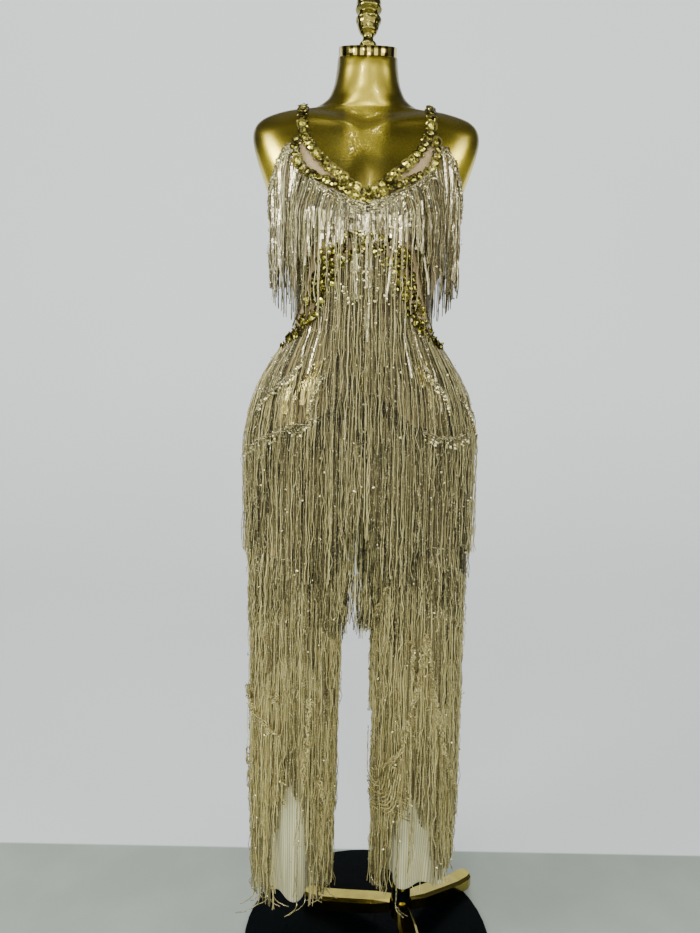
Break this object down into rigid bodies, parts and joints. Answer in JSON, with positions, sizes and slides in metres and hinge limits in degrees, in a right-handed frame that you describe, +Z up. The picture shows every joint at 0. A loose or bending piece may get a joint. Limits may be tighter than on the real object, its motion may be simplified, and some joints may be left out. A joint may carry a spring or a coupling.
{
  "type": "fringed jumpsuit on limbless dress form with stand",
  "caption": "Sheer jumpsuit with tiers of gold-beige fringe and jewelled neck and waist bands, worn by a limbless gold dress form on a pole stand with a round disc",
  "frame": {"origin": "On the floor, on the underside of the round disc, straight below the middle of the neck and shoulders from side to side, 20 mm in front of the form's middle.", "axes": "+Z up; the garment's front faces -Y; +X is the wearer's left, which is the viewer's right."},
  "size_m": [0.4542, 0.445, 1.655],
  "materials": {
    "sheer_cloth": "sheer nude mesh, matte",
    "fringe": "champagne gold fringe, satin sheen",
    "stones": "round gold stones, polished facets",
    "form_gold": "satin gold lacquer",
    "stand_gold": "polished",
    "black_gloss": "gloss black"
  },
  "bodies": {
    "root": {"bodice_front": "sheer_cloth", "bodice_back": "sheer_cloth", "leg_left_front": "sheer_cloth", "leg_left_back": "sheer_cloth", "leg_right_front": "sheer_cloth", "leg_right_back": "sheer_cloth", "neck_band_left": "stones", "neck_band_right": "stones", "strap_left": "stones", "strap_right": "stones", "waist_band_left": "stones", "waist_band_right": "stones", "fringe_bust": "fringe", "fringe_back": "fringe", "fringe_waist": "fringe", "fringe_hip": "fringe", "fringe_left_thigh": "fringe", "fringe_left_knee": "fringe", "fringe_left_calf": "fringe", "fringe_left_hem": "fringe", "fringe_right_thigh": "fringe", "fringe_right_knee": "fringe", "fringe_right_calf": "fringe", "fringe_right_hem": "fringe", "form_body": "form_gold", "neck_cap": "stand_gold", "finial": "stand_gold", "pole": "stand_gold", "pole_collar": "stand_gold", "base_hub": "stand_gold", "base_arm_left": "stand_gold", "base_arm_right": "stand_gold", "base_arm_front": "stand_gold", "base_disc": "black_gloss", "hub_band": "black_gloss"}
  },
  "joints": []
}
